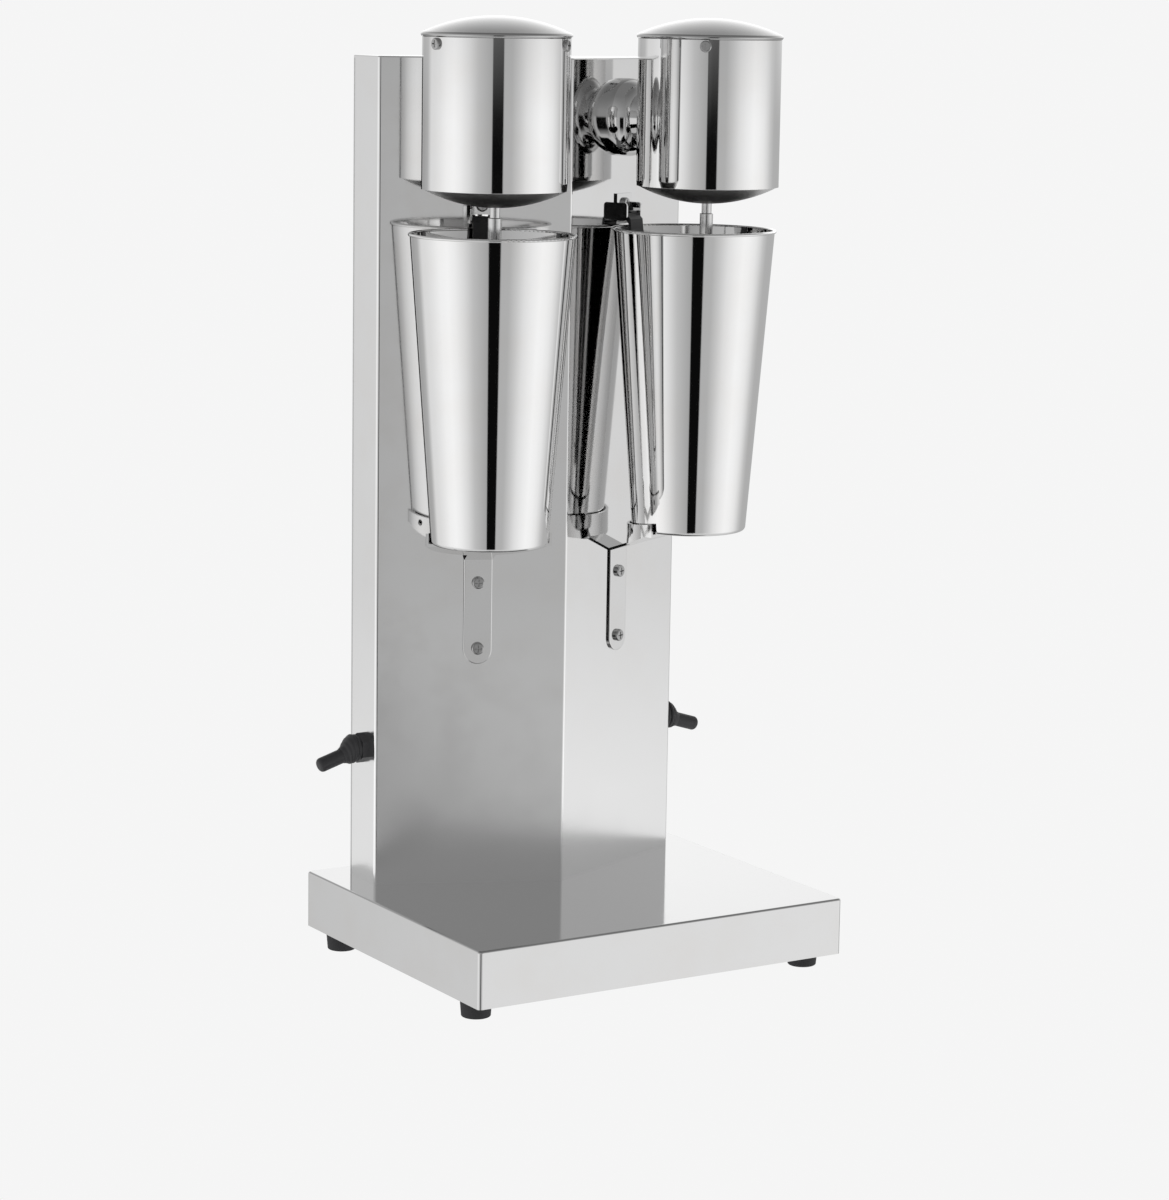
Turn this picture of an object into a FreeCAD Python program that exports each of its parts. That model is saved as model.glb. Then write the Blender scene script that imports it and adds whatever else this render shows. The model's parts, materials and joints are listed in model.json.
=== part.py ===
import FreeCAD, Part
import math
import os

# Twin-head milkshake mixer. Millimetres. Z up, front faces -Y, +X is the viewer's right.
# The origin is on the ground under the middle of the base tray.

# --- driving sizes -----------------------------------------------------------------
base_w, base_d = 236.0, 198.0        # tray footprint
base_top = 42.0                      # tray top above the ground
foot_h = 10.0                        # rubber foot showing under the skirt
tray_t = 1.2                         # tray sheet
foot_in_x, foot_in_y = 11.0, 22.0    # foot centres in from the tray edges
foot_r = 8.8

col_w = 198.0                        # column width
col_top = 507.0                      # column top above the ground
col_back_y = 81.8                    # rear face of the back cover
col_corner_y = 53.2                  # where side walls meet the front faces
col_ridge_y = 11.3                   # the front ridge
wall_t = 1.5                         # column sheet

cup_u = 50.0                         # centreline of a station, measured along the face
head_out = 56.6                      # motor axis out from the face
head_r = 39.7                        # motor housing radius
head_z0, head_z1 = 438.0, 521.5      # housing bottom edge, lid rim top
lid_rise = 8.5
dish_drop = 9.7
head_t = 1.0
neck_z = 474.0
neck_r0, neck_r1 = 21.8, 12.5        # neck radius at the column, at the motor

cup_z0, cup_z1 = 244.8, 414.0        # cup bottom, rim top
cup_r0, cup_rim_r = 32.1, 45.8       # outside radii
cup_out = cup_rim_r + 3.0            # cup axis out from the face, so the rim hangs just off it
cup_t = 0.8

shaft_r = 2.8                        # motor shaft
rod_r = 3.7                          # mixing rod
rod_top, rod_end = 423.0, 257.0
agit_z, agit_r = 262.0, 13.0

strip_w, strip_end = 16.0, 169.0     # cup support strip, its lower end
sup_t = 1.5
lip_h = 13.0
sup_screw_z = (178.0, 215.5)

trig_z, trig_y = 418.6, -5.5         # trigger pivot, in the station's own frame
trig_w = 12.0
brk_screw_z = 426.0

tog_y, tog_z = 67.5, 119.0           # toggle switches on the side walls
tog_tilt = 17.0                      # rest tilt of a lever, downwards
gland_z = 72.0
run_gap = 0.05                       # radial play of everything that turns or slides

# --- sizes that follow --------------------------------------------------------------
alpha = math.atan2(col_corner_y - col_ridge_y, col_w / 2)
sin_a, cos_a = math.sin(alpha), math.cos(alpha)
station_x = cup_u * cos_a
station_y = col_ridge_y + cup_u * sin_a
shell_back_y = col_back_y - wall_t
col_shell_top = col_top - wall_t
foot_x = base_w / 2 - foot_in_x
foot_y = base_d / 2 - foot_in_y
sides = {"left": -1, "right": 1}
UP = FreeCAD.Vector(0, 0, 1)

os.makedirs("parts", exist_ok=True)
made = {}


def vec(x, y, z=0.0):
    return FreeCAD.Vector(x, y, z)


def cyl(r, h, at, axis=UP):
    return Part.makeCylinder(r, h, at, axis)


def box(x0, x1, y0, y1, z0, z1):
    return Part.makeBox(x1 - x0, y1 - y0, z1 - z0, vec(x0, y0, z0))


def tube(r1, r0, h, at, axis=UP):
    return cyl(r1, h, at, axis).cut(cyl(r0, h, at, axis))


def prism(points, z0, z1):
    ring = [vec(x, y, z0) for x, y in points]
    face = Part.Face(Part.makePolygon(ring + [ring[0]]))
    return face.extrude(vec(0, 0, z1 - z0))


def turned(profile, at_x=0.0, at_y=0.0):
    # profile: (r, z) pairs; a three-pair entry ("arc", mid, end) bends through mid
    edges = []
    last = profile[0]
    for item in profile[1:]:
        if item[0] == "arc":
            a, m, b = [vec(p[0], 0, p[1]) for p in (last, item[1], item[2])]
            edges.append(Part.Arc(a, m, b).toShape())
            last = item[2]
        else:
            edges.append(Part.makeLine(vec(last[0], 0, last[1]), vec(item[0], 0, item[1])))
            last = item
    if last != profile[0]:
        first = profile[0]
        edges.append(Part.makeLine(vec(last[0], 0, last[1]), vec(first[0], 0, first[1])))
    face = Part.Face(Part.Wire(edges))
    solid = face.revolve(vec(0, 0, 0), UP, 360)
    solid.translate(vec(at_x, at_y, 0))
    return solid


def crown(r, z_edge, z_top):
    # middle point of the ball-shaped arc that runs from the axis at z_top to (r, z_edge)
    h = z_top - z_edge
    ball = (r * r + h * h) / (2 * abs(h))
    half_turn = math.asin(r / ball) / 2
    sign = 1 if h > 0 else -1
    return (ball * math.sin(half_turn), z_top - sign * ball * (1 - math.cos(half_turn)))


def soften(shape, radius, pick):
    edges = [e for e in shape.Edges if pick(e)]
    return shape.makeFillet(radius, edges) if edges else shape


def upright(edge):
    a, b = edge.Vertexes[0].Point, edge.Vertexes[-1].Point
    return abs(a.z - b.z) > 5 and abs(a.x - b.x) + abs(a.y - b.y) < 1e-6


def fuse(shapes):
    first = shapes[0]
    return first.multiFuse(shapes[1:]).removeSplitter() if len(shapes) > 1 else first


def save(name, shapes):
    solids = []
    for shape in shapes if isinstance(shapes, list) else [shapes]:
        solids.extend(shape.Solids)
    whole = solids[0] if len(solids) == 1 else Part.makeCompound(solids)
    whole.exportStep("parts/" + name + ".step")
    made[name] = whole
    print(name, len(solids), "solids", round(whole.Volume, 1), whole.isValid())


def station(shape, side):
    # from a station's own frame (face at y = 0, outwards is -y) to the machine
    out = shape.copy()
    out.rotate(vec(0, 0, 0), UP, math.degrees(alpha) * side)
    out.translate(vec(side * station_x, station_y, 0))
    return out


def both(shape):
    return [station(shape, s) for s in sides.values()]


def plan(offset, back):
    half = col_w / 2 - offset
    ridge = col_ridge_y + offset / cos_a
    corner = ridge + half * math.tan(alpha)
    return [(-half, back), (-half, corner), (0, ridge), (half, corner), (half, back)]


def pan_screw(head_radius, head_h, shank_r, length, seat, axis):
    # seat: where the head's underside sits; axis: from the seat out through the head
    head = cyl(head_radius, head_h, seat, axis)
    head = soften(head, head_h * 0.45, lambda e: e.Closed and e.CenterOfMass.distanceToPoint(seat) > head_h / 2)
    shank = cyl(shank_r, length, seat - axis * length, axis)
    screw = head.fuse(shank)
    across = vec(0, 0, 1) if abs(axis.z) < 0.5 else vec(1, 0, 0)
    other = axis.cross(across)
    top = seat + axis * head_h
    arm, wide, deep = head_radius * 0.6, head_radius * 0.2, head_h * 0.45
    for run, side in ((across, other), (other, across)):
        corner = top - run * arm - side * (wide / 2) - axis * deep
        pts = [corner, corner + run * 2 * arm, corner + run * 2 * arm + side * wide, corner + side * wide]
        slot = Part.Face(Part.makePolygon(pts + [pts[0]])).extrude(axis * (deep + 1))
        screw = screw.cut(slot)
    return screw


def hexagon(across, z0, z1, x=0.0, y=0.0, hole=0.0):
    r = across / math.sqrt(3)
    points = [(x + r * math.cos(math.radians(60 * k)), y + r * math.sin(math.radians(60 * k))) for k in range(6)]
    nut = prism(points, z0, z1)
    return nut.cut(cyl(hole, z1 - z0, vec(x, y, z0))) if hole else nut


# --- base tray ------------------------------------------------------------------------
skirt_z = foot_h
outer = soften(box(-base_w / 2, base_w / 2, -base_d / 2, base_d / 2, skirt_z, base_top), 2.2, upright)
outer = soften(outer, 1.2, lambda e: e.BoundBox.ZMin > base_top - 0.01)
tray_in_x, tray_in_y = base_w / 2 - tray_t, base_d / 2 - tray_t
inner = box(-tray_in_x, tray_in_x, -tray_in_y, tray_in_y, skirt_z, base_top - tray_t)
inner = soften(inner, 1.0, upright)
tray = outer.cut(inner)
gusset_t, gusset_x, gusset_y = 1.5, 26.0, 36.0
foot_at = [(sx * foot_x, sy * foot_y) for sx in (-1, 1) for sy in (-1, 1)]
foot_shank_r = 2.0
for sx in (-1, 1):
    for sy in (-1, 1):
        x0, x1 = sorted((sx * tray_in_x, sx * (tray_in_x - gusset_x)))
        y0, y1 = sorted((sy * tray_in_y, sy * (tray_in_y - gusset_y)))
        plate = box(x0, x1, y0, y1, skirt_z, skirt_z + gusset_t)
        tray = tray.fuse(plate.common(soften(box(-tray_in_x, tray_in_x, -tray_in_y, tray_in_y, 0, 30), 1.0, upright)))
for x, y in foot_at:
    tray = tray.cut(cyl(foot_shank_r, 6, vec(x, y, skirt_z - 1)))
base_bolts = [(-91.0, 66.0), (91.0, 66.0), (-38.0, 36.5), (38.0, 36.5)]
base_bolt_r = 2.0
for x, y in base_bolts:
    tray = tray.cut(cyl(base_bolt_r, 6, vec(x, y, base_top - 4)))
tray = tray.removeSplitter()
save("base_tray", tray)

feet, foot_screws, foot_nuts = [], [], []
for x, y in foot_at:
    foot = turned([(0, 0), (foot_r - 1.6, 0), ("arc", (foot_r - 0.9, 0.35), (foot_r - 0.7, 1.1)),
                   (foot_r, foot_h - 0.6), (foot_r - 0.6, foot_h), (0, foot_h)], x, y)
    foot = foot.cut(cyl(4.6, 4.0, vec(x, y, 0))).cut(cyl(foot_shank_r, foot_h, vec(x, y, 0)))
    feet.append(foot)
    head = cyl(4.0, 2.4, vec(x, y, 1.6))
    foot_screws.append(head.fuse(cyl(foot_shank_r, 14.0, vec(x, y, 4.0))).cut(box(x - 3, x + 3, y - 0.5, y + 0.5, 0, 2.6)))
    foot_nuts.append(hexagon(7.0, skirt_z + gusset_t, skirt_z + gusset_t + 3.2, x, y, foot_shank_r))
save("rubber_feet", feet)
save("foot_screws", foot_screws)
save("foot_nuts", foot_nuts)

# --- column -----------------------------------------------------------------------------
body = soften(prism(plan(0, shell_back_y), base_top, col_shell_top), 2.0,
              lambda e: upright(e) and e.CenterOfMass.y < shell_back_y - 1)
hollow = soften(prism(plan(wall_t, shell_back_y + 1), base_top, col_shell_top), 0.6,
                lambda e: upright(e) and e.CenterOfMass.y < shell_back_y - 1)
column = body.cut(hollow)
flange_w = 13.0
floor = prism(plan(wall_t, shell_back_y), base_top, base_top + wall_t)
floor = floor.cut(prism(plan(wall_t + flange_w, shell_back_y + 1), base_top, base_top + wall_t))
column = column.fuse(floor.common(hollow))
for side in (-1, 1):
    x0, x1 = sorted((side * (col_w / 2 - wall_t), side * (col_w / 2 - wall_t - 12)))
    column = column.fuse(box(x0, x1, shell_back_y - wall_t, shell_back_y, base_top, col_shell_top))

wire_r, neck_bolt_r, neck_bolt_ring = 6.5, 2.0, 15.0
sup_screw_r, brk_screw_r = 1.75, 1.5
OUT = vec(0, -1, 0)
INTO = vec(0, 1, 0)
neck_bolt_at = [(neck_bolt_ring * math.cos(math.radians(a)), neck_z + neck_bolt_ring * math.sin(math.radians(a)))
                for a in (90, 210, 330)]
slot_z0, slot_z1, slot_half = trig_z - 1.9, trig_z + 2.6, 3.6
cuts = [cyl(wire_r, 6, vec(0, -2, neck_z), INTO)]
cuts += [cyl(neck_bolt_r, 6, vec(x, -2, z), INTO) for x, z in neck_bolt_at]
cuts += [cyl(sup_screw_r, 6, vec(0, -2, z), INTO) for z in sup_screw_z]
cuts.append(cyl(brk_screw_r, 6, vec(0, -2, brk_screw_z), INTO))
cuts.append(box(-slot_half, slot_half, -2, 4, slot_z0, slot_z1))
for s in sides.values():
    for c in cuts:
        column = column.cut(station(c, s))
    column = column.cut(cyl(6.0, 6, vec(s * (col_w / 2 + 2), tog_y, tog_z), vec(-s, 0, 0)))
for x, y in base_bolts:
    column = column.cut(cyl(base_bolt_r, 6, vec(x, y, base_top - 2)))
cover_screw_at = [(sx * 91.5, z) for sx in (-1, 1) for z in (90.0, 275.0, 460.0)]
cover_screw_r = 1.75
for x, z in cover_screw_at:
    column = column.cut(cyl(cover_screw_r, 8, vec(x, shell_back_y - 4, z), INTO))
save("column_shell", column.removeSplitter())

cap = soften(prism(plan(0, col_back_y), col_shell_top, col_top), 2.0,
             lambda e: abs(e.Vertexes[0].Point.x - e.Vertexes[-1].Point.x) < 1e-6
             and abs(e.Vertexes[0].Point.z - e.Vertexes[-1].Point.z) > 1
             and e.CenterOfMass.y < shell_back_y - 1)
cap_gap = 0.25
lip = prism(plan(wall_t + cap_gap, shell_back_y - wall_t - cap_gap), col_shell_top - 8, col_shell_top)
lip = lip.cut(prism(plan(2 * wall_t + cap_gap, shell_back_y - 2 * wall_t - cap_gap), col_shell_top - 8, col_shell_top))
save("column_top_cap", soften(cap, 0.7, lambda e: e.BoundBox.ZMin > col_top - 0.01).fuse(lip).removeSplitter())

cover = box(-col_w / 2, col_w / 2, shell_back_y, col_back_y, base_top, col_shell_top)
for x, z in cover_screw_at:
    cover = cover.cut(cyl(cover_screw_r, 8, vec(x, shell_back_y - 4, z), INTO))
vent_z = [(130.0 + 14.0 * k) for k in range(5)] + [(400.0 + 14.0 * k) for k in range(5)]
for z in vent_z:
    cover = cover.cut(box(-32, 32, shell_back_y - 1, col_back_y + 1, z, z + 4))
gland_r = 7.5
cover = cover.cut(cyl(gland_r, 8, vec(0, shell_back_y - 4, gland_z), INTO))
save("back_cover", cover)
save("back_cover_screws", [pan_screw(3.3, 2.0, cover_screw_r, 7.0, vec(x, col_back_y, z), INTO)
                           for x, z in cover_screw_at])

screws = []
for x, y in base_bolts:
    seat = vec(x, y, base_top - tray_t)
    screws.append(pan_screw(3.8, 2.4, base_bolt_r, 6.5, seat, vec(0, 0, -1)))
save("column_base_screws", screws)

cord_bore_r = 3.6
gland = cyl(gland_r, 8.0, vec(0, col_back_y - 8, gland_z), INTO)
hexa = hexagon(19.0, 0, 4.5)
hexa.rotate(vec(0, 0, 0), vec(1, 0, 0), -90)
hexa.translate(vec(0, col_back_y, gland_z))
dome = cyl(8.4, 10.5, vec(0, col_back_y + 4.5, gland_z), INTO)
dome = soften(dome, 2.5, lambda e: e.Closed and e.CenterOfMass.y > col_back_y + 14)
gland = gland.fuse(hexa).fuse(dome).cut(cyl(cord_bore_r, 40, vec(0, col_back_y - 20, gland_z), INTO))
save("cable_gland", gland.removeSplitter())

block = box(-24, 24, 40, 58, base_top, base_top + 18)
for k in range(4):
    block = block.cut(cyl(2.0, 30, vec(-18 + 12 * k, 30, base_top + 7), INTO))
    block = block.cut(cyl(2.4, 6, vec(-18 + 12 * k, 49, base_top + 13)))
save("terminal_block", block)

# --- station: everything that repeats for a drink ----------------------------------------
axis_y = -head_out
neck_len = head_out - head_r
prof = [(0, -1), (neck_r0, -1), (neck_r0, 2.5),
        ("arc", (neck_r0 - 1.7, neck_len * 0.55), (neck_r0 - 6.2, neck_len * 0.85)),
        (neck_r1, neck_len + 6), (0, neck_len + 6)]
neck = turned(prof)
neck.rotate(vec(0, 0, 0), vec(1, 0, 0), 90)
neck.translate(vec(0, 0, neck_z))
neck = neck.cut(box(-40, 40, 0, 10, neck_z - 40, neck_z + 40))
neck = neck.cut(cyl(head_r, 120, vec(0, axis_y, neck_z - 60)))
neck = neck.cut(cyl(wire_r, 60, vec(0, -50, neck_z), INTO))
for x, z in neck_bolt_at:
    neck = neck.cut(cyl(neck_bolt_r, 7.5, vec(x, -7.5, z), INTO))
neck_bolts = []
for x, z in neck_bolt_at:
    neck_bolts.append(pan_screw(3.6, 2.6, neck_bolt_r, wall_t + 7.5, vec(x, wall_t, z), INTO))

rim_h, bead = 3.0, 0.8
shell_top = head_z1 - rim_h
shell = tube(head_r, head_r - head_t, shell_top - head_z0, vec(0, axis_y, head_z0))
shell = shell.cut(cyl(wire_r, 20, vec(0, axis_y + head_r - 12, neck_z), INTO))
lid_screw_z, lid_screw_r = head_z1 - 6.5, 1.5
lid_dirs = [vec(math.sin(math.radians(a)), -math.cos(math.radians(a)), 0) for a in (60, -60, 180)]
lid_cuts = [cyl(lid_screw_r, 10, vec(0, axis_y, lid_screw_z) + d * (head_r - 6), d) for d in lid_dirs]
shell = shell.cut(Part.makeCompound(lid_cuts))

skirt_r = head_r - head_t
crown_r = head_r - 0.2
crown_z = head_z1 - 0.2
top_z = head_z1 + lid_rise
under_r, under_z = skirt_r - 1, shell_top - 0.5
lid = turned([(0, top_z), ("arc", crown(crown_r, crown_z, top_z), (crown_r, crown_z)),
              ("arc", (head_r + bead, head_z1 - rim_h / 2), (crown_r, shell_top)),
              (skirt_r, shell_top), (skirt_r, shell_top - 10), (skirt_r - 1, shell_top - 10),
              (under_r, under_z), ("arc", crown(under_r, under_z, top_z - 1), (0, top_z - 1))], 0, axis_y)
lid = lid.cut(Part.makeCompound(lid_cuts))
lid_screws = []
for d in lid_dirs:
    seat = vec(0, axis_y, lid_screw_z) + d * (head_r - 0.12)
    lid_screws.append(pan_screw(3.2, 1.8, lid_screw_r, 4.5, seat, d).cut(
        cyl(head_r, 20, vec(0, axis_y, lid_screw_z - 10)).cut(cyl(head_r - head_t, 20, vec(0, axis_y, lid_screw_z - 10)))
        .cut(Part.makeCompound(lid_cuts))))

brg_r, brg_h, brg_bore = 8.0, 5.0, shaft_r + run_gap
brg_lo, brg_hi = head_z0 - 1.0, 500.0
dish_z = head_z0 - dish_drop
dish_r = skirt_r - 0.1
hole_r = 3.6
seat_z = 446.0
dish = turned([(0, dish_z), ("arc", crown(dish_r, head_z0 - 0.2, dish_z), (dish_r, head_z0 - 0.2)), (skirt_r, head_z0), (skirt_r, seat_z),
               (skirt_r - 1.2, seat_z), (skirt_r - 1.2, head_z0 + 1), (11.0, dish_z + 2.6), (11.0, brg_lo + brg_h + 0.5),
               (0, brg_lo + brg_h + 0.5)], 0, axis_y)
dish = dish.cut(cyl(brg_r, 20, vec(0, axis_y, brg_lo))).cut(cyl(hole_r, 40, vec(0, axis_y, dish_z - 5)))
bearings = [tube(brg_r, brg_bore, brg_h, vec(0, axis_y, z)) for z in (brg_lo, brg_hi)]

sta_z0, sta_z1, sta_r = 455.0, 483.0, 30.0
frame = tube(skirt_r - 0.4, 24.5, 3.0, vec(0, axis_y, seat_z))
bridge_z = 497.0
for side in (-1, 1):
    x0, x1 = sorted((side * 27.0, side * 37.0))
    leg = box(x0, x1, axis_y - 5, axis_y + 5, seat_z, bridge_z + 3)
    frame = frame.fuse(leg)
frame = frame.cut(cyl(sta_r, bridge_z - sta_z0, vec(0, axis_y, sta_z0)))
frame = frame.fuse(box(-37, 37, axis_y - 5, axis_y + 5, bridge_z, bridge_z + 3))
frame = frame.fuse(cyl(20, 3, vec(0, axis_y, bridge_z))).fuse(cyl(11, 8, vec(0, axis_y, bridge_z)))
frame = frame.cut(cyl(brg_r, 20, vec(0, axis_y, brg_hi))).cut(cyl(hole_r, 20, vec(0, axis_y, bridge_z - 1)))
frame = frame.common(cyl(skirt_r - 0.4, 100, vec(0, axis_y, seat_z))).removeSplitter()

pole_y = 17.7
stator = tube(sta_r, 24.0, sta_z1 - sta_z0, vec(0, axis_y, sta_z0))
for side in (-1, 1):
    y0, y1 = sorted((axis_y + side * pole_y, axis_y + side * 26))
    stator = stator.fuse(box(-7, 7, y0, y1, sta_z0, sta_z1))
stator = stator.cut(cyl(17.2, 60, vec(0, axis_y, 440))).removeSplitter()
coils = []
for side in (-1, 1):
    y0, y1 = sorted((axis_y + side * 17.9, axis_y + side * 20.0))
    coil = box(-12.5, 12.5, y0, y1, sta_z0 - 4, sta_z1 + 4)
    coils.append(coil.cut(box(-7, 7, y0, y1, sta_z0, sta_z1)))
rotor = cyl(16.5, 26, vec(0, axis_y, 456)).fuse(cyl(13, 38.5, vec(0, axis_y, 449.5)))
rotor = rotor.fuse(cyl(8, 46.5, vec(0, axis_y, 449.5))).cut(cyl(shaft_r, 80, vec(0, axis_y, 430)))
for k in range(12):
    groove = box(-0.8, 0.8, 14.6, 18, 456, 482)
    groove.rotate(vec(0, 0, 0), UP, 30 * k)
    groove.translate(vec(0, axis_y, 0))
    rotor = rotor.cut(groove)
fan = tube(20, shaft_r, 1.0, vec(0, axis_y, 444)).fuse(tube(6, shaft_r, 4.6, vec(0, axis_y, 444)))
for k in range(9):
    blade = box(7, 19.5, -0.4, 0.4, 444.5, 448.4)
    blade.rotate(vec(0, 0, 0), UP, 40 * k)
    blade.translate(vec(0, axis_y, 0))
    fan = fan.fuse(blade)
fan = fan.removeSplitter()
holders = []
for side in (-1, 1):
    y0, y1 = sorted((axis_y + side * 8.1, axis_y + side * 19.0))
    holders.append(box(-3.5, 3.5, y0, y1, 489.5, bridge_z))

motor_shaft = cyl(shaft_r, 508 - (rod_top - 14), vec(0, axis_y, rod_top - 14))
rod = cyl(rod_r, rod_top - rod_end, vec(0, axis_y, rod_end))
rod = soften(rod, 0.5, lambda e: e.Closed and e.CenterOfMass.z > rod_top - 1)
rod = rod.cut(cyl(shaft_r, 14, vec(0, axis_y, rod_top - 14)))
agit = cyl(agit_r, 3.0, vec(0, axis_y, agit_z - 1.5))
for k in range(10):
    notch = cyl(2.6, 8, vec(agit_r + 0.9, 0, agit_z - 4))
    notch.rotate(vec(0, 0, 0), UP, 36 * k)
    notch.translate(vec(0, axis_y, 0))
    agit = agit.cut(notch)
agit = agit.fuse(cyl(6, 7, vec(0, axis_y, agit_z - 3.5))).cut(cyl(rod_r, 30, vec(0, axis_y, agit_z - 15))).removeSplitter()

# cup
bead_r = 0.9
slope = (cup_rim_r - bead_r - cup_r0) / (cup_z1 - bead_r - cup_z0)
bead_z = cup_z1 - bead_r
wall_top_r = cup_rim_r - bead_r
corner = 2.2
cup = turned([(0, cup_z0 + 1.2), (cup_r0 - 6.0, cup_z0 + 1.2), (cup_r0 - 6.8, cup_z0), (cup_r0 - corner, cup_z0),
              ("arc", (cup_r0 - corner * 0.25, cup_z0 + corner * 0.3), (cup_r0 + slope * corner, cup_z0 + corner)),
              (wall_top_r - slope * bead_r, bead_z - bead_r), (wall_top_r, bead_z),
              (wall_top_r - cup_t, bead_z), (cup_r0 - cup_t + slope * corner, cup_z0 + corner + 0.4),
              ("arc", (cup_r0 - cup_t - corner * 0.25, cup_z0 + corner * 0.3 + 0.8), (cup_r0 - corner - 0.4, cup_z0 + 2.2)),
              (0, cup_z0 + 2.2)])
ring = Part.makeTorus(cup_rim_r - bead_r, bead_r, vec(0, 0, bead_z))
cup = cup.fuse(ring).removeSplitter()
cup.translate(vec(0, -cup_out, 0))

# cup support: strip, tilted floor and half ring, pressed from one piece
ring_in = cup_r0 + 1.2
ring_out = ring_in + sup_t
front_y = -cup_out + 1.5             # the floor's front edge, which carries the cup
bend_z = 229.5                       # where the strip turns outwards


def side_cut(points):
    # a (y, z) outline drawn out across the whole support
    ring = [vec(-60, y, z) for y, z in points]
    return Part.Face(Part.makePolygon(ring + [ring[0]])).extrude(vec(120, 0, 0))


sheet_drop = sup_t / math.cos(math.atan2(cup_z0 - bend_z, -front_y - 4.3))
floor_line = [(0, bend_z - sheet_drop), (front_y + 4.3, cup_z0 - sheet_drop), (front_y, cup_z0 - sheet_drop)]
plan_shape = cyl(ring_out, 60, vec(0, -cup_out, 210)).common(box(-60, 60, front_y, 20, 200, 280))
plan_shape = plan_shape.fuse(box(-strip_w / 2, strip_w / 2, -cup_out + 20, 0, 210, 270)).removeSplitter()
floor = plan_shape.common(side_cut(floor_line + [(front_y, cup_z0), (front_y + 4.3, cup_z0), (0, bend_z)]))
band = tube(ring_out, ring_in, 60, vec(0, -cup_out, 210)).common(
    side_cut(floor_line + [(front_y, cup_z0 + 5.7), (-16.0, cup_z0 + 2.4), (0, cup_z0 + 2.4)]))
strip = box(-strip_w / 2, strip_w / 2, -sup_t, 0, strip_end + strip_w / 2, bend_z)
strip = strip.fuse(cyl(strip_w / 2, sup_t, vec(0, -sup_t, strip_end + strip_w / 2), INTO)).removeSplitter()
strip = soften(strip, 0.5, lambda e: abs(e.CenterOfMass.y + sup_t) < 1e-3 and e.CenterOfMass.z < bend_z - 0.1)
support = fuse([strip, floor, band])
for turn in (-58, 58):
    look = vec(math.sin(math.radians(turn)), math.cos(math.radians(turn)), 0)
    support = support.cut(cyl(1.8, 60, vec(0, -cup_out, cup_z0 + 0.2), look))
for z in sup_screw_z:
    support = support.cut(cyl(sup_screw_r, 6, vec(0, -4, z), INTO))
support_screws = [pan_screw(3.5, 2.2, sup_screw_r, 6.0, vec(0, -sup_t, z), OUT) for z in sup_screw_z]

# cup hook: bracket with pin, and the lever that hangs over the cup's rear rim
ear_t, ear_gap, pin_r = 1.2, 0.2, 1.0
ear_x = trig_w / 2 + ear_gap
plate_z0, plate_z1 = slot_z1 + 0.2, 431.5
bracket = box(-ear_x - ear_t, ear_x + ear_t, -ear_t, 0, plate_z0, plate_z1)
for side in (-1, 1):
    x0, x1 = sorted((side * ear_x, side * (ear_x + ear_t)))
    cheek = box(x0, x1, trig_y - 2.4, 0, trig_z - 2.2, plate_z1 - 5)
    bracket = bracket.fuse(soften(cheek, 1.8, lambda e: abs(e.Vertexes[0].Point.y - (trig_y - 2.4)) < 1e-3
                                  and abs(e.Vertexes[-1].Point.y - (trig_y - 2.4)) < 1e-3 and e.BoundBox.XLength > 1))
bracket = bracket.fuse(cyl(pin_r, 2 * (ear_x + ear_t), vec(-ear_x - ear_t, trig_y, trig_z), vec(1, 0, 0)))
bracket = bracket.cut(cyl(brk_screw_r, 6, vec(0, -4, brk_screw_z), INTO)).removeSplitter()
bracket_screw = pan_screw(3.2, 1.9, brk_screw_r, 4.4, vec(0, -ear_t, brk_screw_z), OUT)

hook = [(trig_y - 1.0, trig_z + 1.9), (trig_y + 1.5, trig_z + 1.9), (trig_y + 1.5, trig_z - 1.2), (trig_y - 1.5, trig_z - 2.3),
        (-8.2, 415.0), (-8.5, 411.0), (-9.8, 405.4), (-10.7, 405.0), (-11.4, 405.8), (-10.3, 411.6), (-9.6, 417.4)]
hook_pts = [vec(-trig_w / 2, y, z) for y, z in hook]
trigger = Part.Face(Part.makePolygon(hook_pts + [hook_pts[0]])).extrude(vec(trig_w, 0, 0))
trigger = trigger.fuse(cyl(2.0, trig_w, vec(-trig_w / 2, trig_y, trig_z), vec(1, 0, 0)))
trigger = trigger.fuse(box(-3.0, 3.0, trig_y, 10.5, trig_z - 1.2, trig_z + 1.2))
trigger = trigger.cut(cyl(pin_r + run_gap, 40, vec(-20, trig_y, trig_z), vec(1, 0, 0))).removeSplitter()

push_y, push_r = trig_y + 14.0, 1.3
push_z = trig_z + 1.2 + 0.16
micro = box(-8, 8, wall_t, 13.0, 423.0, 438.0)
micro = micro.cut(cyl(3.0, 4.0, vec(0, wall_t, brk_screw_z), INTO))
micro = micro.cut(cyl(push_r + run_gap, 12.0, vec(0, push_y, 423.0)))
plunger = cyl(push_r, 8.0, vec(0, push_y, push_z))
plunger = soften(plunger, 0.4, lambda e: e.Closed and e.CenterOfMass.z < push_z + 1)

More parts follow.
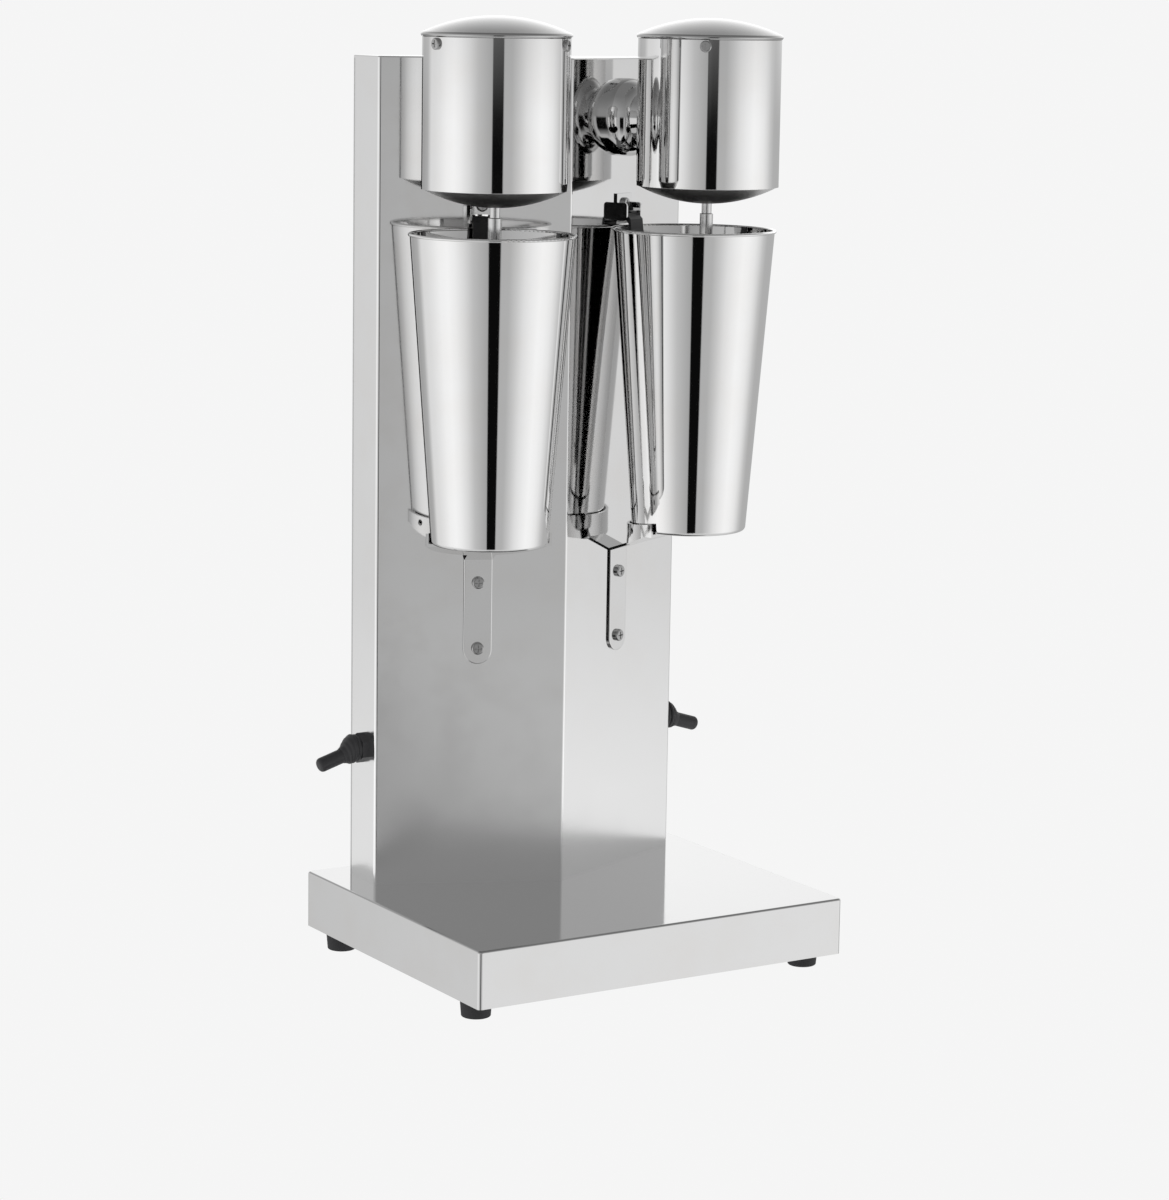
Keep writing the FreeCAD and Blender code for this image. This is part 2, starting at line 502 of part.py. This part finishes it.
save("neck_bolts", [station(b, s) for s in sides.values() for b in neck_bolts])
save("lid_screws", [station(b, s) for s in sides.values() for b in lid_screws])
save("bearings", [station(b, s) for s in sides.values() for b in bearings])
save("motor_frames", both(frame))
save("stators", both(stator))
save("field_coils", [station(b, s) for s in sides.values() for b in coils])
save("brush_holders", [station(b, s) for s in sides.values() for b in holders])
save("support_screws", [station(b, s) for s in sides.values() for b in support_screws])
save("bracket_screws", both(bracket_screw))
per_side = {"neck": neck, "head_shell": shell, "head_lid": lid, "head_bottom": dish, "rotor": rotor, "fan": fan,
            "motor_shaft": motor_shaft, "spindle": rod, "agitator": agit, "cup": cup, "cup_support": support,
            "trigger_bracket": bracket, "trigger": trigger, "microswitch": micro, "plunger": plunger}
for side_name, s in sides.items():
    for node, shape in per_side.items():
        save(node + "_" + side_name, station(shape, s))

# --- toggle switches on the side walls ---------------------------------------------------
for side_name, s in sides.items():
    wall_x = col_w / 2
    away = vec(s, 0, 0)
    pivot = vec(s * (wall_x + 1.5), tog_y, tog_z)
    x0, x1 = sorted((s * (wall_x - wall_t), s * (wall_x - wall_t - 22)))
    case = box(x0, x1, tog_y - 7.5, tog_y + 7.5, tog_z - 14, tog_z + 14)
    case = case.fuse(cyl(6.0, 8.5, vec(s * (wall_x - wall_t), tog_y, tog_z), away))
    ball_r = 4.4
    case = case.cut(cyl(ball_r + run_gap, 14, vec(s * (wall_x - 6), tog_y, tog_z), away))
    for k in range(3):
        z = tog_z - 9 + 9 * k
        case = case.fuse(box(*sorted((s * (wall_x - 31), s * (wall_x - 23))), tog_y - 2.5, tog_y + 2.5, z - 0.4, z + 0.4))
    save("toggle_body_" + side_name, case.removeSplitter())
    nut = hexagon(15.0, 0, 4.0, 0, 0, 6.0)
    flare = turned([(6.0, 4.0), (7.4, 4.0), ("arc", (7.9, 5.2), (7.4, 6.4)), (6.0, 6.4)])
    nut = nut.fuse(flare).removeSplitter()
    nut.rotate(vec(0, 0, 0), vec(0, 1, 0), 90 * s)
    nut.translate(vec(s * wall_x, tog_y, tog_z))
    save("toggle_nut_" + side_name, nut)
    rod_r1, neck_h = 2.3, math.sqrt(ball_r ** 2 - 2.3 ** 2)
    lever = turned([(0, -ball_r), ("arc", (ball_r, 0), (rod_r1, neck_h)), (rod_r1, 24.0), (0, 24.0)])
    sleeve_r, sleeve_z0, sleeve_z1 = 4.15, 8.6, 28.1
    sleeve = turned([(rod_r1, sleeve_z0), (sleeve_r, sleeve_z0), (sleeve_r, sleeve_z1 - 2.4),
                     ("arc", (sleeve_r - 0.7, sleeve_z1 - 0.7), (sleeve_r - 2.4, sleeve_z1)), (0, sleeve_z1),
                     (0, 24.0), (rod_r1, 24.0)])
    for name, shape in (("toggle_lever_", lever), ("toggle_boot_", sleeve)):
        shape.rotate(vec(0, 0, 0), vec(0, 1, 0), (90 + tog_tilt) * s)
        shape.translate(pivot)
        save(name + side_name, shape)

print(len(made), "nodes")
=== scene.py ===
import json
import math

import bmesh
import bpy
from mathutils import Matrix, Vector


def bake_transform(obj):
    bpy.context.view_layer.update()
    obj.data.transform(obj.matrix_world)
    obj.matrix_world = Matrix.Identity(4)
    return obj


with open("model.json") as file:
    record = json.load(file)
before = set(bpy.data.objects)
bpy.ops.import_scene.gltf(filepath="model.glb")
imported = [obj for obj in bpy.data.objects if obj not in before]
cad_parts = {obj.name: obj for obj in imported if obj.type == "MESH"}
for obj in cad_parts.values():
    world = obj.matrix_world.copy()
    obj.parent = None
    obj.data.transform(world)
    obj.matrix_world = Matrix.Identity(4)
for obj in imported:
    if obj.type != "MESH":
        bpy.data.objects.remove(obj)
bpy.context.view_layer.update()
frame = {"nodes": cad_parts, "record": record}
nodes = frame["nodes"]
sides = {"left": -1, "right": 1}
print("stage: frame loaded,", len(nodes), "nodes")

camera = {"place": (-1.0217, -1.6500, 0.5410),  # metres
          "turn": 31.905, "dip": 9.777, "roll": 0.909, "lens": 105.18}


def setCamera():
    turn, dip, roll = (math.radians(camera[k]) for k in ("turn", "dip", "roll"))
    ahead = Vector((math.sin(turn) * math.cos(dip), math.cos(turn) * math.cos(dip), -math.sin(dip)))
    level = Vector((math.cos(turn), -math.sin(turn), 0))
    above = level.cross(ahead)
    right = level * math.cos(roll) + above * math.sin(roll)
    top = above * math.cos(roll) - level * math.sin(roll)
    data = bpy.data.cameras.new("camera")
    data.lens = camera["lens"]
    data.sensor_width = 36
    data.clip_end = 50
    cam = bpy.data.objects.new("camera", data)
    bpy.context.collection.objects.link(cam)
    cam.matrix_world = Matrix.Translation(camera["place"]) @ Matrix((right, top, -ahead)).transposed().to_4x4()
    bpy.context.scene.camera = cam


# what the polished metal sees, by compass bearing: 0 is the front, 90 the viewer's right
studio = {
    "backdrop": 0.915,
    "low": [(-180, 0.40), (-162, 0.50), (-150, 0.84), (-138, 0.88), (-126, 0.96), (-112, 1.08), (-98, 1.12),
            (-86, 1.04), (-72, 0.86), (-58, 0.62), (-46, 0.52), (-36.6, 0.45), (-35.6, 0.004), (-19.2, 0.004),
            (-18.2, 0.52), (-6, 0.53), (6, 0.70), (18, 0.90), (30, 1.02), (44, 1.12), (56, 1.08), (68, 0.98),
            (78, 0.82), (86, 0.66), (98, 0.52), (125, 0.48), (150, 0.46), (180, 0.40)],
    "high": [(-180, 0.80), (-120, 0.62), (-60, 0.50), (-14, 0.34), (30, 0.44), (78, 0.55), (120, 1.15),
             (150, 1.42), (180, 0.80)],
    "overhead": 0.22, "rise": (0.25, 0.88),      # brightness straight up, and where the sky turns to it
    "underfoot": 0.70, "fall": (0.45, 0.80),     # the same for straight down
    "horizon": (-0.035, 0.05),
}
floorPlane = {"half": 6, "drop": 0.0006}
softbox = {"watts": 9, "across": 1.2, "place": (-1.3, -0.9, 1.9), "aim": (0, 0, 0.3)}


def grey(value):
    return (value, value, value, 1)


class Socket:                                    # one output of a node; sums on it add Math nodes
    def __init__(self, tree, out):
        self.tree, self.out = tree, out

    def maths(self, kind, *values):
        node = self.tree.nodes.new("ShaderNodeMath")
        node.operation = kind
        for slot, value in zip(node.inputs, values):
            if isinstance(value, Socket):
                self.tree.links.new(value.out, slot)
            else:
                slot.default_value = value
        return Socket(self.tree, node.outputs[0])

    def __add__(self, other):
        return self.maths("ADD", self, other)

    def __radd__(self, other):
        return self.maths("ADD", other, self)

    def __sub__(self, other):
        return self.maths("SUBTRACT", self, other)

    def __rsub__(self, other):
        return self.maths("SUBTRACT", other, self)

    def __mul__(self, other):
        return self.maths("MULTIPLY", self, other)

    def __rmul__(self, other):
        return self.maths("MULTIPLY", other, self)

    def __truediv__(self, other):
        return self.maths("DIVIDE", self, other)

    def clamped(self):
        node = self.maths("ADD", self, 0.0)
        node.out.node.use_clamp = True
        return node

    def step(self, low, high):
        return ((self - low) / (high - low)).clamped()


class Tree:
    def __init__(self, tree):
        self.tree = tree
        tree.nodes.clear()

    def add(self, kind, settings=None, out=0, stops=None, **values):
        node = self.tree.nodes.new("ShaderNode" + kind)
        for key, value in (settings or {}).items():
            setattr(node, key, value)
        if stops:
            ramp = node.color_ramp
            while len(ramp.elements) < len(stops):
                ramp.elements.new(0.5)
            for element, (place, value) in zip(ramp.elements, stops):
                element.position = place
                element.color = grey(value)
        for key, value in values.items():
            byPlace = key[0] == "i" and key[1:].isdigit()
            slot = node.inputs[int(key[1:]) if byPlace else key]
            if isinstance(value, Socket):
                self.tree.links.new(value.out, slot)
            else:
                slot.default_value = value
        return Socket(self.tree, node.outputs[out]) if node.outputs else node

    def axes(self, vector):
        split = self.add("SeparateXYZ", i0=vector).out.node
        return [Socket(self.tree, out) for out in split.outputs]


def setStudio():
    world = bpy.data.worlds.new("studio")
    bpy.context.scene.world = world
    world.use_nodes = True
    tree = Tree(world.node_tree)
    x, y, z = tree.axes(tree.add("TexCoord", out=0))
    bearing = x.maths("ARCTAN2", x, 0.0 - y) / (2 * math.pi) + 0.5
    low, high = (tree.add("ValToRGB", stops=[((a + 180) / 360, v) for a, v in studio[k]], i0=bearing)
                 for k in ("low", "high"))
    steep = tree.add("MixRGB", i0=z.step(*studio["rise"]), i1=high, i2=grey(studio["overhead"]))
    deep = tree.add("MixRGB", i0=(0.0 - z).step(*studio["fall"]), i1=low, i2=grey(studio["underfoot"]))
    light = tree.add("MixRGB", i0=z.step(*studio["horizon"]), i1=deep, i2=steep)
    direct = tree.add("LightPath", out=0)
    seen = tree.add("MixRGB", i0=direct, i1=light, i2=grey(studio["backdrop"]))
    tree.add("OutputWorld", Surface=tree.add("Background", Color=seen))
    bpy.context.scene.view_settings.view_transform = "Standard"


def setFloor():
    bm = bmesh.new()
    bmesh.ops.create_grid(bm, x_segments=1, y_segments=1, size=floorPlane["half"],
                          matrix=Matrix.Translation((0, 0, -floorPlane["drop"])))
    mesh = bpy.data.meshes.new("floor")
    bm.to_mesh(mesh)
    bm.free()
    floor = bpy.data.objects.new("floor", mesh)
    bpy.context.collection.objects.link(floor)
    paint = bpy.data.materials.new("paleFloor")
    paint.use_nodes = True
    tree = Tree(paint.node_tree)
    tree.add("OutputMaterial", Surface=tree.add("Emission", Color=grey(studio["backdrop"]), Strength=1.0))
    mesh.materials.append(paint)
    floor.visible_glossy = False


def setSoftbox():
    lamp = bpy.data.lights.new("softbox", "AREA")
    lamp.energy = softbox["watts"]
    lamp.shape = "DISK"
    lamp.size = softbox["across"]
    box = bpy.data.objects.new("softbox", lamp)
    bpy.context.collection.objects.link(box)
    box.location = softbox["place"]
    box.rotation_euler = (Vector(softbox["aim"]) - box.location).to_track_quat("-Z", "Y").to_euler()
    box.visible_glossy = False


setCamera()
setStudio()
setFloor()
setSoftbox()
print("stage: camera and studio")

metals = {
    # the tray's flat top above 41.4 mm gets a darker tint than its skirt: painted shade
    "trayPolish": {"tint": 0.67, "rough": 0.045, "smear": 0.03,
                   "shadedDeck": {"above": 0.0414, "tint": 0.52}},
    # the column's foot is rougher steel, and its tint rises to 0.96 there: the lighter lower column is painted
    # light
    "columnPolish": {"tint": 0.78, "rough": 0.04, "smear": 0.03,
                     "foot": {"top": 0.215, "full": 0.085, "rough": 0.17, "tint": 0.96}},
    "cupPolish": {"tint": 0.80, "rough": 0.03, "smear": 0.02},
    "headPolish": {"tint": 0.80, "rough": 0.03, "smear": 0.02},
    "lidPolish": {"tint": 0.50, "rough": 0.10, "smear": 0.03},
    "dishPolish": {"tint": 0.88, "rough": 0.34, "smear": 0.04},
    "neckPolish": {"tint": 0.70, "rough": 0.05, "smear": 0.03},
    "rodPolish": {"tint": 0.66, "rough": 0.14, "smear": 0.05},
    "supportPolish": {"tint": 0.76, "rough": 0.06, "smear": 0.03},
    "screwPlate": {"tint": 0.44, "rough": 0.12, "smear": 0.05},
    "lamination": {"tint": 0.34, "rough": 0.38, "smear": 0.1},
    "castAlloy": {"tint": 0.60, "rough": 0.42, "smear": 0.1},
}
tinted = {
    "coilWire": {"hue": (0.55, 0.20, 0.07), "rough": 0.32, "smear": 0.06},
    "brassPressing": {"hue": (0.74, 0.55, 0.22), "rough": 0.26, "smear": 0.06},
}
brushed = {"coverBrushed": {"tint": 0.66, "rough": 0.26, "smear": 0.08}}
dulls = {
    "footRubber": {"tint": (0.022, 0.022, 0.024), "rough": 0.62, "grain": 900, "lift": 0.00004},
    "bootRubber": {"tint": (0.030, 0.030, 0.032), "rough": 0.42, "grain": 1100, "lift": 0.00003},
    "hookPlastic": {"tint": (0.012, 0.012, 0.013), "rough": 0.26, "grain": 1500, "lift": 0.000015},
    "insidePlastic": {"tint": (0.028, 0.028, 0.03), "rough": 0.5, "grain": 1300, "lift": 0.00002},
    "palePlastic": {"tint": (0.70, 0.70, 0.67), "rough": 0.4, "grain": 1300, "lift": 0.00002},
}


def startFinish(name):
    finish = bpy.data.materials.new(name)
    finish.use_nodes = True
    tree = Tree(finish.node_tree)
    place = tree.add("TexCoord", out=3)
    shader = tree.add("BsdfPrincipled")
    tree.add("OutputMaterial", Surface=shader)
    return finish, tree, place, shader.out.node


def feed(tree, node, name, value):
    tree.tree.links.new(value.out, node.inputs[name])


# wiping marks and specks, common to all the steel
smears = {"size": 38.0, "from": 0.42, "to": 0.72, "tone": 0.6, "dim": 0.965}
specks = {"size": 620.0, "share": 0.35}
warmth = 0.015                                   # how much a smear loses in green and blue


def metalFinish(name, rough, smear, tint=0.5, hue=None, foot=None, shadedDeck=None):
    finish, tree, place, shader = startFinish(name)
    shader.inputs["Metallic"].default_value = 1.0
    haze = tree.add("TexNoise", Vector=place, Scale=smears["size"], Detail=3.0, Roughness=0.55)
    fine = tree.add("TexNoise", Vector=place, Scale=specks["size"], Detail=2.0, Roughness=0.6)
    cloud = haze.step(smears["from"], smears["to"])
    gloss = rough + smear * cloud + (rough * specks["share"]) * fine
    height = tree.axes(place)[2]
    if foot:                                     # a haze that thickens downwards
        hazeAndPaintedLight = ((foot["top"] - height) / (foot["top"] - foot["full"])).clamped()
        gloss = gloss + foot["rough"] * hazeAndPaintedLight
    feed(tree, shader, "Roughness", gloss)
    clean = hue or (tint,) * 3
    warm = hue or [tint * (1 - warmth * (1 - k)) for k in range(2, -1, -1)]
    smeared = [min(1, c) * smears["dim"] for c in warm]
    tone = tree.add("MixRGB", i0=cloud * smears["tone"], i1=(*clean, 1), i2=(*smeared, 1))
    # the same mask lightens the tint towards the bottom of the column: painted light, on top of the rougher haze
    if foot:
        tone = tree.add("MixRGB", i0=hazeAndPaintedLight, i1=tone, i2=grey(foot["tint"]))
    if shadedDeck:                                     # painted shade: the flat top gets a darker tint than the skirt, so the reflections on it come out darker
        top = height.maths("GREATER_THAN", height, shadedDeck["above"])
        tone = tree.add("MixRGB", i0=top, i1=tone, i2=grey(shadedDeck["tint"]))
    feed(tree, shader, "Base Color", tone)
    return finish


def brushedFinish(name, tint, rough, smear):
    finish, tree, place, shader = startFinish(name)
    shader.inputs["Metallic"].default_value = 1.0
    long = tree.add("Mapping", Vector=place, Scale=(26.0, 26.0, 3200.0))
    lines = tree.add("TexNoise", Vector=long, Scale=1.0, Detail=3.0, Roughness=0.65)
    feed(tree, shader, "Roughness", rough + 2 * smear * lines)
    tone = tree.add("MixRGB", i0=lines.step(0.3, 0.7), i1=grey(tint), i2=grey(tint * 0.86))
    feed(tree, shader, "Base Color", tone)
    feed(tree, shader, "Normal", tree.add("Bump", Height=lines, Distance=0.00002, Strength=0.5))
    return finish


def dullFinish(name, tint, rough, grain, lift):
    finish, tree, place, shader = startFinish(name)
    pebble = tree.add("TexNoise", Vector=place, Scale=float(grain), Detail=3.0, Roughness=0.6)
    dust = tree.add("TexNoise", Vector=place, Scale=60.0, Detail=4.0, Roughness=0.6).step(0.45, 0.8)
    dusty = [c * 1.6 + 0.01 for c in tint]
    feed(tree, shader, "Base Color", tree.add("MixRGB", i0=dust * 0.55, i1=(*tint, 1), i2=(*dusty, 1)))
    feed(tree, shader, "Roughness", rough + 0.14 * pebble + 0.1 * dust)
    feed(tree, shader, "Normal", tree.add("Bump", Height=pebble, Distance=lift, Strength=0.6))
    return finish


finishes = {}
kinds = ((metals, metalFinish), (tinted, metalFinish), (brushed, brushedFinish), (dulls, dullFinish))
for looks, makeFinish in kinds:
    for name, look in looks.items():
        finishes[name] = makeFinish(name, **look)


slotFinish = {
    "steel_tray": "trayPolish", "steel_column": "columnPolish", "steel_cover": "coverBrushed",
    "steel_fastener": "screwPlate", "bearing_steel": "screwPlate", "cast_alloy": "castAlloy",
    "lamination_steel": "lamination", "copper_coil": "coilWire", "brass_part": "brassPressing",
    "black_rubber": "footRubber", "black_plastic": "insidePlastic", "white_plastic": "palePlastic",
    "steel_neck": "neckPolish", "steel_head": "headPolish", "steel_lid": "lidPolish", "steel_dish": "dishPolish",
    "steel_shaft": "rodPolish", "steel_rod": "rodPolish", "steel_agitator": "supportPolish",
    "steel_cup": "cupPolish", "steel_support": "supportPolish", "steel_bracket": "supportPolish",
    "black_hook": "hookPlastic", "black_boot": "bootRubber", "steel_lever": "screwPlate",
}
nodeSlot = {part["node"]: part["material_slot"] for part in frame["record"]["subparts"]}
for name, node in nodes.items():
    for k in range(len(node.material_slots)):
        node.material_slots[k].material = finishes[slotFinish[nodeSlot[name]]]
print("stage: finishes,", len(finishes))

def keep(bm, name, finish):
    mesh = bpy.data.meshes.new(name)
    bm.to_mesh(mesh)
    bm.free()
    mesh.materials.append(finishes[finish])
    for face in mesh.polygons:
        face.use_smooth = True
    piece = bpy.data.objects.new(name, mesh)
    bpy.context.collection.objects.link(piece)
    return piece


toggleBoot = {"ball": (0.1005, 0.0675, 0.119), "tilt": 17.0,   # the lever's ball and its droop at rest
              "foot": 0.0050, "tip": 0.0128, "bent": 0.0108,   # out from the ball: start, end, end of the bend
              "bore": (0.0055, 0.0040), "steps": 56,
              "rings": [(0.0050, 0.0079), (0.0058, 0.0083), (0.0066, 0.0080), (0.0070, 0.0073), (0.0076, 0.0076),
                        (0.0083, 0.0072), (0.0087, 0.0064), (0.0093, 0.0066), (0.0100, 0.0061), (0.0104, 0.0053),
                        (0.0110, 0.0053), (0.0118, 0.0048), (0.0128, 0.0045)]}


def makeToggleBoot(side, s):
    x, y, z = toggleBoot["ball"]
    foot, tip = toggleBoot["foot"], toggleBoot["tip"]
    bm = bmesh.new()
    outline = [(foot, toggleBoot["bore"][0])] + toggleBoot["rings"] + [(tip, toggleBoot["bore"][1])]
    line = [bm.verts.new((r, 0, d)) for d, r in outline]
    edges = [bm.edges.new(pair) for pair in zip(line, line[1:] + line[:1])]
    bmesh.ops.spin(bm, geom=line + edges, cent=(0, 0, 0), axis=(0, 0, 1), angle=2 * math.pi,
                   steps=toggleBoot["steps"], use_merge=True)
    bmesh.ops.remove_doubles(bm, verts=bm.verts, dist=1e-6)
    bmesh.ops.recalc_face_normals(bm, faces=bm.faces)
    ball = Matrix.Translation((s * x, y, z))
    rings = {}
    for v in bm.verts:
        rings.setdefault(round(v.co.z, 6), []).append(v)
    for d, ring in rings.items():                # each ring leans further than the one before
        lean = min(1, max(0, (d - foot) / (toggleBoot["bent"] - foot)))
        lean = lean * lean * (3 - 2 * lean)
        turn = Matrix.Rotation(math.radians(90 + toggleBoot["tilt"] * lean) * s, 4, "Y")
        bmesh.ops.transform(bm, matrix=ball @ turn, verts=ring)
    piece = keep(bm, "boot_bellows_" + side, "bootRubber")
    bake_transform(piece)


for side, s in sides.items():
    makeToggleBoot(side, s)
print("stage: toggle boots")
